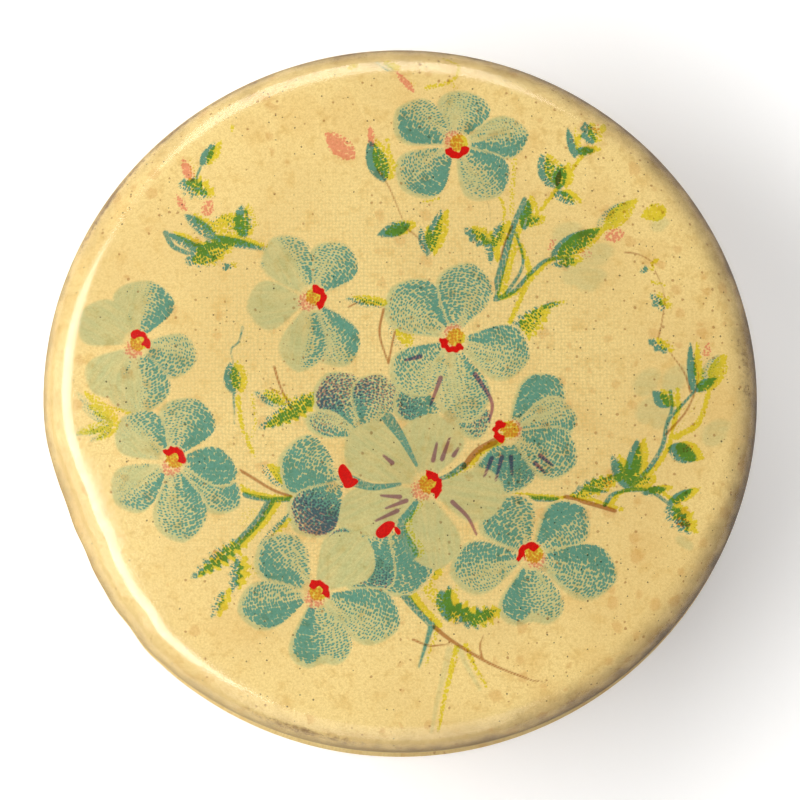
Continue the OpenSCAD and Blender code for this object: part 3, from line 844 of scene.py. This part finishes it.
def paper_material():
    g = Graph("printed_paper")
    flat = g.attribute("flat")
    grain = g.attribute("grain")
    teal, yellow, pale = g.split(g.attribute("plates_a"))
    red, pink, mauve = g.split(g.attribute("plates_b"))
    brown, halo, stain = g.split(g.attribute("plates_c"))
    teal_line, mauve_line, grime = g.split(g.attribute("plates_d"))

    # aged paper: mottling, stains and specks
    broad = g.noise(flat, 0.07, 3.0)
    mottle = g.noise(flat, 0.6, 5.0, 0.65)
    fibre = g.noise(flat, 6.0, 2.0, 0.7)
    colour = g.mix(g.ramp(broad, 0.35, 0.65), linear(*PAPER_COLOUR), linear(236, 208, 140))
    colour = g.mix(g.ramp(mottle, 0.50, 0.72, 0.0, 0.7), colour, linear(224, 184, 108))
    colour = g.mix(g.ramp(g.noise(flat, 2.4, 3.0, 0.7), 0.48, 0.70, 0.0, 0.45), colour, linear(218, 182, 110))
    colour = g.mix(g.ramp(fibre, 0.35, 0.70, 0.0, 0.50), colour, linear(212, 180, 110))
    blotchy = g.math("ADD", g.noise(flat, 0.11, 2.0), g.math("MULTIPLY", g.split(flat)[0], 0.0035))
    for scale, size, share, strength, rgb in STAINS:
        colour = g.mix(stain_spots(g, flat, blotchy, scale, size, share, strength), colour, linear(*rgb))

    # the fine tint round the flowers
    scales = g.cells(flat, 3.6, 0.35)
    colour = g.mix(g.math("MULTIPLY", halo, g.ramp(scales, 0.25, 0.62, 0.05, 0.50)), colour, linear(200, 182, 122))

    # stippled plates
    turned = g.scaled(grain, (4.8, 3.4, 1.0))
    wander = g.add("ShaderNodeVectorMath", {0: turned, 1: g.scaled(g.add(
        "ShaderNodeTexNoise", {"Vector": flat, "Scale": 1.1, "Detail": 1.0}, "Color"), (1.1, 1.1, 0.0))}, operation="ADD")
    dots = g.cells(wander, 1.0, 0.62)
    teal_on = g.math("ADD", g.math("DIVIDE", g.math("SUBTRACT", teal, dots), 0.17), 0.5, clamp=True)
    drawn = g.math("MULTIPLY", g.ramp(teal_line, 0.34, 0.60), g.ramp(dots, 0.62, 0.40, 0.55, 1.0))
    teal_on = g.math("MAXIMUM", teal_on, drawn)
    fine = g.cells(flat, 4.6, 0.9)
    fine_dots = g.math("ADD", g.math("MULTIPLY", fine, 1.0), g.math("MULTIPLY", g.noise(flat, 7.0, 1.0), 0.25))

    def speckled(tone, offset):
        return g.math("ADD", g.math("DIVIDE", g.math("SUBTRACT", tone, fine_dots), 0.3), offset, clamp=True)

    yellow_on = speckled(yellow, 0.55)
    mauve_on = speckled(mauve, 0.40)
    pink_on = speckled(pink, 0.70)

    def print_ink(base, share, strength, rgb):
        inked = g.mix(1.0, base, ink_filter(*rgb), "MULTIPLY")
        return g.mix(g.math("MULTIPLY", share, strength, clamp=True), base, inked)

    veins = g.noise(g.scaled(grain, (0.35, 2.6, 1.0)), 1.0, 3.0, 0.6)
    colour = print_ink(colour, pale, g.ramp(veins, 0.36, 0.66, 1.0, 0.74), (188, 195, 140))
    colour = print_ink(colour, yellow_on, 0.92, (228, 206, 40))
    colour = print_ink(colour, pink_on, 0.85, (236, 142, 108))
    colour = print_ink(colour, mauve_on, 0.80, (172, 110, 110))
    colour = print_ink(colour, g.ramp(mauve_line, 0.34, 0.62), 0.85, (160, 92, 104))
    body = g.mix(pale, ink_filter(92, 150, 130), ink_filter(118, 172, 146))
    colour = g.mix(g.math("MULTIPLY", teal_on, 0.97), colour, g.mix(1.0, colour, body, "MULTIPLY"))
    colour = print_ink(colour, g.ramp(brown, 0.36, 0.64), 0.85, (176, 112, 52))
    colour = g.mix(g.ramp(red, 0.38, 0.60), colour, g.mix(g.ramp(fibre, 0.3, 0.7), linear(216, 14, 3), linear(188, 14, 4)))
    colour = print_ink(colour, g.ramp(stain, 0.30, 0.70), 0.7, (165, 110, 50))

    # the rolled edge darkened all round in a brown band with a darker line at its very edge, and more on the right: the
    # extra on the right is painted shade, where the edge turns away from the lights. Grime patches go on top
    distance = g.add("ShaderNodeVectorMath", {0: flat}, "Value", operation="LENGTH")
    cloudy = g.noise(flat, 0.35, 4.0, 0.65)
    around = g.math("ADD", distance, g.math("MULTIPLY", cloudy, 3.2))
    east, north, _ = g.split(flat)
    # painted shade: a weight that grows towards the right, the side away from the lights
    painted_shade_side = g.math("ADD", g.math("MULTIPLY", east, 0.034), g.math("MULTIPLY", north, 0.006))
    share = g.math("MULTIPLY", g.ramp(painted_shade_side, -1.0, 1.0, 0.40, 0.96), g.ramp(distance, 29.9, 31.0, 1.0, 0.22))
    colour = g.mix(g.math("MULTIPLY", g.ramp(around, 28.0, 30.8), share), colour, linear(150, 116, 54))
    colour = g.mix(g.math("MULTIPLY", g.ramp(around, 29.8, 31.4), share), colour, linear(88, 64, 22))
    crumbs = g.math("ADD", g.math("MULTIPLY", g.noise(flat, 2.2, 5.0, 0.8), 2.6), g.math("MULTIPLY", cloudy, 1.2))
    dirt = g.ramp(g.math("ADD", grime, crumbs), 2.45, 3.15, 0.0, 0.80)
    colour = g.mix(dirt, colour, linear(112, 76, 34))
    return g.principled(
        Base_Color=colour,
        Roughness=g.ramp(fibre, 0.2, 0.8, 0.62, 0.80),
        Specular_IOR_Level=0.04,
        Normal=g.bump(fibre, 0.00002, 0.4),
    )


def film_material():
    """Clear yellowed film: it mirrors by angle and lets the rest through."""
    g = Graph("celluloid")
    flat = g.attribute("flat")
    pimples = g.noise(flat, 2.2, 3.0, 0.6)
    fine = g.noise(flat, 9.0, 2.0, 0.6)
    rubbed = g.noise(flat, 0.8, 4.0, 0.7)
    height = g.math("ADD", g.math("MULTIPLY", pimples, 1.0), g.math("MULTIPLY", fine, 0.22))
    normal = g.bump(height, 0.00002, 0.4)
    roughness = g.ramp(rubbed, 0.3, 0.75, 0.15, 0.24)
    gloss = g.add("ShaderNodeBsdfAnisotropic", {"Color": (1, 1, 1, 1), "Roughness": roughness, "Normal": normal})
    clear = g.add("ShaderNodeBsdfTransparent", {"Color": (0.995, 0.99, 0.975, 1)})
    angle = g.add("ShaderNodeFresnel", {"IOR": 1.75, "Normal": normal})
    distance = g.add("ShaderNodeVectorMath", {0: flat}, "Value", operation="LENGTH")
    dirty = g.ramp(distance, 27.8, 29.6, 0.09, 0.03)
    shader = g.add("ShaderNodeMixShader", {0: g.math("MINIMUM", angle, dirty), 1: clear, 2: gloss})
    return g.surface(shader)


def clear_material():
    """The film's inner face, which lies against the paper."""
    g = Graph("celluloid_inner")
    return g.surface(g.add("ShaderNodeBsdfTransparent", {"Color": (1, 1, 1, 1)}))


# ---------------------------------------------------------------- the lid's face


def layer(name, depth_out, depth_in, n, materials, inner_slot):
    """A closed sheet between two depths below the lid's outside. Returns it with its flat places."""
    radius, angle, faces = disc_grid(n)
    s = radius * WRAP
    count = len(s)
    outside = lid_points(s, angle, depth_out)
    inside = lid_points(s, angle, depth_in)
    line = np.arange(n + 1)
    loop = np.concatenate([
        line[:-1], line[:-1] * (n + 1) + n, (n * (n + 1) + line[1:])[::-1], (line[1:] * (n + 1))[::-1],
    ])
    after = np.roll(loop, -1)
    rim = np.stack([after, loop, loop + count, after + count], axis=1)
    all_faces = np.vstack([faces, faces[:, ::-1] + count, rim])
    obj = new_mesh(name, np.vstack([outside, inside]), all_faces, materials)
    slots = np.zeros(len(all_faces), np.int32)
    slots[len(faces) : 2 * len(faces)] = inner_slot
    obj.data.polygons.foreach_set("material_index", slots)
    flat = np.stack([s * np.cos(angle), s * np.sin(angle), np.zeros(count)], axis=1)
    store(obj.data, "flat", np.vstack([flat, flat]))
    return obj, flat


def build_film():
    film, _ = layer("lid_film", 0.0, FILM_T, 150, [film_material(), clear_material()], 1)
    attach(film, "lid")
    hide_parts("celluloid_cover")


def build_paper():
    """The print, as one open sheet that lies on the shell."""
    n = 440
    radius, angle, faces = disc_grid(n)
    s = radius * WRAP
    points = lid_points(s, angle, FILM_T + 0.01)
    paper = new_mesh("lid_picture", points, faces, [paper_material()])
    flat = np.stack([s * np.cos(angle), s * np.sin(angle), np.zeros(len(s))], axis=1)
    art = draw_picture(flat[:, 0], flat[:, 1])
    ink = art.ink
    tone = np.clip(ink["teal"], 0, 1)
    ink["teal"] = 0.60 * np.sqrt(tone) + 0.22 * tone**4 - 0.08 * (1 - tone)
    store(paper.data, "flat", flat)
    store(paper.data, "grain", art.grain)
    store(paper.data, "plates_a", np.stack([ink["teal"], ink["yellow"], ink["pale"]], axis=1))
    store(paper.data, "plates_b", np.stack([ink["red"], ink["pink"], ink["mauve"]], axis=1))
    store(paper.data, "plates_c", np.stack([ink["brown"], ink["halo"], ink["stain"]], axis=1))
    store(paper.data, "plates_d", np.stack([ink["teal_line"], ink["mauve_line"], ink["grime"]], axis=1))
    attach(paper, "lid")
    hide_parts("printed_paper")


def lathe(name, section, turns, materials, ding=0.0, seed=1, closed=True):
    """Turns a section of radius and height, in mm, round the Z axis, with a few dings."""
    section = np.asarray(section, float)
    count = len(section)
    angle = np.arange(turns) * 2 * math.pi / turns
    r = np.repeat(section[None, :, 0], turns, axis=0)
    z = np.repeat(section[None, :, 1], turns, axis=0)
    a = np.repeat(angle[:, None], count, axis=1)
    if ding:
        push = waves(np.cos(a) * 27 + z * 0.4, np.sin(a) * 27 - z * 0.3, seed, 17.0)
        r = r - ding * np.clip(push + 0.4, 0, 1.4) * smooth(r / 6)
    points = np.stack([r * np.cos(a), r * np.sin(a), z], axis=-1).reshape(-1, 3) * MM
    i, j = np.meshgrid(np.arange(turns), np.arange(count if closed else count - 1), indexing="ij")
    nxt, up = (i + 1) % turns, (j + 1) % count
    faces = np.stack([i * count + j, nxt * count + j, nxt * count + up, i * count + up], axis=-1).reshape(-1, 4)
    obj = new_mesh(name, points, faces, materials)
    tidy_poles(obj)
    return obj


def tidy_poles(obj):
    """Joins the points that meet on the axis, and turns all faces outwards."""
    mesh = bmesh.new()
    mesh.from_mesh(obj.data)
    bmesh.ops.remove_doubles(mesh, verts=mesh.verts, dist=1e-7)
    bmesh.ops.recalc_face_normals(mesh, faces=mesh.faces)
    mesh.to_mesh(obj.data)
    mesh.free()
    obj.data.set_sharp_from_angle(angle=math.radians(38))


def spread(points, step):
    """Adds points along a section's long stretches."""
    out = []
    for (r0, z0), (r1, z1) in zip(points, points[1:] + points[:1]):
        parts = max(1, round(math.hypot(r1 - r0, z1 - z0) / step))
        out += [(r0 + (r1 - r0) * k / parts, z0 + (z1 - z0) * k / parts) for k in range(parts)]
    return out


def dress(obj, body, slot, *nodes):
    """Ties a piece to its body and hides the CAD nodes that it stands for. The slot is not used."""
    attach(obj, body)
    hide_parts(*nodes)


def object_place(g):
    """The place on the object in mm."""
    return g.scaled(g.add("ShaderNodeTexCoord", out="Object"), (1000, 1000, 1000))


def round_place(g, place):
    """Distance round, distance out and height, in mm, for marks that run round the tin."""
    x, y, z = g.split(place)
    turn = g.math("ARCTAN2", y, x)
    out = g.math("SQRT", g.math("ADD", g.math("MULTIPLY", x, x), g.math("MULTIPLY", y, y)))
    around = g.add("ShaderNodeCombineXYZ", {"X": g.math("MULTIPLY", turn, 27.0), "Y": out, "Z": z})
    return around, out, z


def metal(name, base, worn, dark, rust=0.3, wear=(0.52, 0.66), rough=(0.26, 0.46), dents=0.00004, powder=0.0):
    """Old tinplate: a base colour worn to another in patches, with dark spots, rust and fine scratches."""
    g = Graph(name)
    place = object_place(g)
    around, out, z = round_place(g, place)
    cloud = g.noise(place, 0.22, 4.0, 0.65)
    patches = g.noise(place, 0.30, 6.0, 0.62)
    scratches = g.noise(g.scaled(around, (0.25, 7.0, 7.0)), 1.0, 3.0, 0.6)
    cross = g.noise(g.scaled(place, (5.0, 0.6, 0.6)), 1.0, 3.0, 0.6)
    colour = g.mix(g.ramp(cloud, 0.35, 0.70), base, [c * 0.72 for c in base])
    colour = g.mix(g.ramp(patches, *wear), colour, worn)
    colour = g.mix(g.ramp(scratches, 0.60, 0.72, 0.0, 0.55), colour, worn)
    pits = g.math("MULTIPLY", g.ramp(g.noise(place, 2.4, 4.0, 0.7), 0.60, 0.70), g.ramp(cloud, 0.42, 0.60))
    colour = g.mix(g.math("MULTIPLY", pits, 0.8), colour, dark)
    rusty = g.math("MULTIPLY", g.ramp(g.noise(place, 0.5, 5.0, 0.75), 0.58, 0.68), rust)
    colour = g.mix(rusty, colour, linear(122, 70, 34))
    dusty = g.math("MULTIPLY", g.ramp(g.noise(place, 0.7, 5.0, 0.7), 0.42, 0.66), powder)
    colour = g.mix(dusty, colour, linear(238, 236, 228))
    dull = g.math("MAXIMUM", g.math("MAXIMUM", rusty, dusty), g.math("MULTIPLY", pits, 0.7))
    metallic = g.math("SUBTRACT", 1.0, dull, clamp=True)
    roughness = g.math("ADD", g.ramp(patches, 0.3, 0.7, *rough), g.math("MULTIPLY", dull, 0.4), clamp=True)
    height = g.math("ADD", g.math("MULTIPLY", cloud, 1.5), g.math("MULTIPLY", scratches, 0.12))
    height = g.math("ADD", height, g.math("MULTIPLY", g.math("ADD", cross, dull), 0.12))
    return g.principled(
        Base_Color=colour,
        Metallic=metallic,
        Roughness=roughness,
        Normal=g.bump(height, dents, 0.7),
    )


SILVER = linear(176, 174, 168)
BRIGHT = linear(206, 204, 198)
GOLD = linear(192, 154, 92)
TARNISH = linear(62, 48, 34)


def gilt_material():
    return metal("gilt_tin", GOLD, SILVER, TARNISH, 0.45, (0.55, 0.70))


def tinplate_material(name="bare_tinplate", powder=0.0):
    return metal(name, SILVER, BRIGHT, TARNISH, 0.5, (0.45, 0.65), powder=powder)


def shutter_material():
    return metal("shutter_tin", GOLD, BRIGHT, TARNISH, 0.15, (0.50, 0.60), (0.20, 0.40), powder=0.55)


def brass_material():
    return metal("rivet_brass", linear(214, 172, 92), linear(236, 206, 140), TARNISH, 0.0, rough=(0.16, 0.34))


def steel_material():
    return metal("washer_steel", linear(150, 148, 144), linear(190, 188, 184), TARNISH, 0.3, rough=(0.30, 0.5))


def solder_material():
    return metal("solder", linear(138, 138, 136), linear(168, 168, 166), TARNISH, 0.1, rough=(0.4, 0.6), dents=0.0002)


def card_material():
    """Grey-brown board with flecks, stains and a soft nap."""
    g = Graph("liner_card")
    place = object_place(g)
    flecks = g.noise(g.scaled(place, (1.0, 2.2, 1.0)), 4.0, 4.0, 0.7)
    cloud = g.noise(place, 0.12, 4.0, 0.6)
    colour = g.mix(g.ramp(cloud, 0.35, 0.7), linear(176, 158, 126), linear(150, 128, 94))
    colour = g.mix(g.ramp(flecks, 0.55, 0.68, 0.0, 0.6), colour, linear(112, 92, 66))
    colour = g.mix(g.ramp(flecks, 0.42, 0.30, 0.0, 0.5), colour, linear(206, 192, 164))
    powder = g.math("MULTIPLY", g.ramp(g.noise(place, 0.35, 5.0, 0.7), 0.50, 0.68), 0.55)
    colour = g.mix(powder, colour, linear(236, 232, 222))
    return g.principled(
        Base_Color=colour,
        Roughness=g.ramp(flecks, 0.3, 0.7, 0.86, 0.96),
        Specular_IOR_Level=0.2,
        Normal=g.bump(flecks, 0.00012, 0.8),
    )


def talc_material():
    g = Graph("talc")
    place = object_place(g)
    lumps = g.noise(place, 1.4, 6.0, 0.7)
    colour = g.mix(g.ramp(lumps, 0.35, 0.65), linear(226, 222, 212), linear(246, 244, 238))
    return g.principled(
        Base_Color=colour,
        Roughness=g.ramp(lumps, 0.3, 0.7, 0.88, 0.98),
        Specular_IOR_Level=0.15,
        Normal=g.bump(lumps, 0.0003, 0.9),
    )


def build_shell():
    """The pressed tin under the paper, dented like it, with its raw edge inside the hem."""
    outer, inner = FILM_T + PAPER_T, FILM_T + PAPER_T + TIN_T
    out_s = list(np.linspace(0, STARTS[1], 12)) + list(np.linspace(STARTS[1], STARTS[2], 12)[1:])
    out_s += list(np.linspace(STARTS[2], STARTS[3], 4)[1:])
    rows = [(s, outer) for s in out_s] + [(s, inner) for s in reversed(out_s)]
    turns = 240
    angle = np.arange(turns) * 2 * math.pi / turns
    points = np.stack([lid_points(np.full(turns, s), angle, depth) for s, depth in rows], axis=1)
    count = len(rows)
    i, j = np.meshgrid(np.arange(turns), np.arange(count - 1), indexing="ij")
    nxt = (i + 1) % turns
    faces = np.stack([i * count + j, nxt * count + j, nxt * count + j + 1, i * count + j + 1], axis=-1)
    shell = new_mesh("lid_tin", points.reshape(-1, 3), faces.reshape(-1, 4), [tinplate_material()])
    tidy_poles(shell)
    dress(shell, "lid", "bare_tinplate", "lid_shell")


def build_wall():
    """The tin's side, with small dings, and its overlapped side seam."""
    (_, _, low), (outer, _, high) = span("body_wall")
    inner = outer - TIN_T
    wall = lathe("tin_wall", spread([(outer, low), (outer, high), (inner, high), (inner, low)], 0.7), 240,
                 [gilt_material()], 0.05, 4)
    lap = seam_strip("tin_lap", outer - 0.1, span("body_wall")[1][0] + TIN_T, 2.05, high, [gilt_material()])
    join([wall, lap])
    dress(wall, "tin", "gilt_tin", "body_wall")


def seam_strip(name, inner, outer, low, high, materials):
    """A strip of sheet that lies round the tin at +Y, 4 mm wide, with eased edges."""
    half = 2.0 / outer
    steps, rise = 10, 14
    section = []
    for k in range(steps + 1):
        a = math.pi / 2 - half + 2 * half * k / steps
        edge = 0.05 if k in (0, steps) else 0.0
        section.append((a, outer - edge))
    section += [(a, inner) for a, _ in reversed(section)]
    heights = np.linspace(low, high, rise + 1)
    points = [(r * math.cos(a) * MM, r * math.sin(a) * MM, z * MM) for z in heights for a, r in section]
    count = len(section)
    faces = [
        [k * count + j, k * count + (j + 1) % count, (k + 1) * count + (j + 1) % count, (k + 1) * count + j]
        for k in range(rise)
        for j in range(count)
    ]
    for k, flip in ((0, True), (rise, False)):
        for j in range(steps):
            quad = [k * count + j, k * count + j + 1, k * count + count - 2 - j, k * count + count - 1 - j]
            faces.append(quad[::-1] if flip else quad)
    obj = new_mesh(name, points, np.array(faces), materials)
    tidy_poles(obj)
    return obj


def join(objects):
    """Makes the objects one, under the first one's name."""
    target = bmesh.new()
    for obj in objects:
        target.from_mesh(obj.data)
    target.to_mesh(objects[0].data)
    target.free()
    for obj in objects[1:]:
        bpy.data.objects.remove(obj)


def build_bottom():
    """The seamed-on bottom, with two pressed rings in its panel."""
    (_, _, _), (outer, _, top) = span("body_bottom")
    panel = top - TIN_T
    seam_h, edge = 2.0, 0.25
    wall, neck = outer - TIN_T, outer - 2 * TIN_T
    inner = neck - TIN_T
    pressed = [(0, 0), (12.6, 0), (13.0, 0.18), (13.8, 0.18), (14.2, 0), (21.4, 0), (21.8, 0.2), (22.6, 0.2), (23.0, 0)]
    under = [(r, panel - h) for r, h in pressed]
    over = [(r, panel + TIN_T - h) for r, h in reversed(pressed)]
    section = under + [
        (inner - 0.9, panel), (inner - 0.25, panel - 0.12), (inner, panel - 0.5), (inner, edge), (inner + 0.08, 0.08),
        (inner + edge, 0), (outer - edge, 0), (outer - 0.08, 0.08), (outer, edge), (outer, seam_h - 0.1),
        (outer - 0.08, seam_h), (wall, seam_h), (wall, 0.45), (neck, 0.45), (neck, panel - 0.3),
        (inner - 0.8, panel + TIN_T),
    ] + over
    bottom = lathe("tin_bottom", section, 240, [gilt_material()], 0.02, 9, closed=False)
    dress(bottom, "tin", "gilt_tin", "body_bottom")


def build_talc():
    """The powder left in the tin, settled in soft heaps."""
    (_, _, low), (edge, _, high) = span("talc_fill")
    rows = [(0.0, low), (edge, low), (edge, high - 0.6)]
    rows += [(r, high - 0.3) for r in np.linspace(edge - 0.4, 0.0, 60)]
    bed = lathe("talc_bed", rows, 160, [talc_material()], closed=False)
    places = np.array([v.co[:] for v in bed.data.vertices]) / MM
    heap = waves(places[:, 0], places[:, 1], 21, 14.0) * 0.35 + waves(places[:, 0], places[:, 1], 22, 4.0) * 0.08
    top = places[:, 2] > low + 0.1
    places[:, 2] = np.where(top, np.minimum(places[:, 2] + heap - 0.3, high), places[:, 2])
    bed.data.vertices.foreach_set("co", (places * MM).astype(np.float32).ravel())
    dress(bed, "tin", "talc", "talc_fill")


def paint_nodes():
    """New materials on the CAD pieces that show as they are."""
    finishes = {
        "lid_liner": card_material(),
        "lid_collet": gilt_material(),
        "side_seam_solder": solder_material(),
        "neck_ring": tinplate_material("neck_tin", 0.25),
        "sifter_plate": tinplate_material("sifter_tin", 0.6),
        "sifter_shutter": shutter_material(),
        "sifter_rivet": brass_material(),
        "rivet_washer": steel_material(),
        "stop_pin": brass_material(),
    }
    for node, material in finishes.items():
        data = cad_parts[node].data
        data.materials.clear()
        data.materials.append(material)


build_paper()
build_film()
build_shell()
build_wall()
build_bottom()
build_talc()
paint_nodes()

# ---------------------------------------------------------------- camera, lights, floor


def build_stage():
    floor = new_mesh(
        "floor",
        [(-2, -2, 0), (2, -2, 0), (2, 2, 0), (-2, 2, 0)],
        np.array([[0, 1, 2, 3]]),
        [Graph("floor").principled(
            Base_Color=(0.93, 0.93, 0.93, 1), Roughness=0.9, Emission_Color=(1, 1, 1, 1), Emission_Strength=0.25)],
        False,
    )
    floor.location.z = -0.0002


def area_light(name, place, aim, size, power, colour=(1, 1, 1)):
    data = bpy.data.lights.new(name, "AREA")
    data.shape = "RECTANGLE"
    data.size, data.size_y = size
    data.energy = power
    data.color = colour
    lamp = bpy.data.objects.new(name, data)
    lamp.location = place
    lamp.rotation_euler = (Vector(aim) - Vector(place)).to_track_quat("-Z", "Y").to_euler()
    bpy.context.scene.collection.objects.link(lamp)


def build_lights():
    middle = (0, 0, 0.02)
    area_light("softbox_left", (-0.25, -0.05, 0.40), middle, (0.42, 0.19), 1.6, (1.0, 0.99, 0.97))
    area_light("fill_left", (-0.42, -0.06, 0.30), middle, (0.4, 0.4), 0.6, (1.0, 0.99, 0.97))
    area_light("fill_far", (-0.06, 0.40, 0.36), middle, (0.4, 0.3), 1.2, (1.0, 0.99, 0.97))
    area_light("fill_near", (-0.06, -0.42, 0.34), middle, (0.5, 0.4), 0.6, (1.0, 0.99, 0.97))
    build_world()


def build_world():
    """A pale horizon under a dark ceiling, so that the flat film mirrors nothing bright."""
    world = bpy.data.worlds.new("studio")
    bpy.context.scene.world = world
    world.use_nodes = True
    tree = world.node_tree
    place = tree.nodes.new("ShaderNodeTexCoord")
    parts = tree.nodes.new("ShaderNodeSeparateXYZ")
    fade = tree.nodes.new("ShaderNodeMapRange")
    fade.interpolation_type = "SMOOTHSTEP"
    for name, value in (("From Min", 0.25), ("From Max", 0.85), ("To Min", 0.50), ("To Max", 0.02)):
        fade.inputs[name].default_value = value
    background = tree.nodes["Background"]
    background.inputs["Color"].default_value = (0.98, 0.98, 1.0, 1)
    tree.links.new(place.outputs["Generated"], parts.inputs[0])
    tree.links.new(parts.outputs["Z"], fade.inputs["Value"])
    tree.links.new(fade.outputs[0], background.inputs["Strength"])


def build_camera():
    elevation = math.radians(84)
    distance = 0.30
    aim = Vector((0.0, -0.0003, 0.0215))
    data = bpy.data.cameras.new("camera")
    data.sensor_width = 36
    data.lens = 36 * distance / 0.0632
    camera = bpy.data.objects.new("camera", data)
    camera.location = aim + distance * Vector((0, -math.cos(elevation), math.sin(elevation)))
    camera.rotation_euler = (math.pi / 2 - elevation, 0, 0)
    bpy.context.scene.collection.objects.link(camera)
    bpy.context.scene.camera = camera


build_stage()
build_lights()
build_camera()
bpy.context.scene.view_settings.view_transform = "Standard"
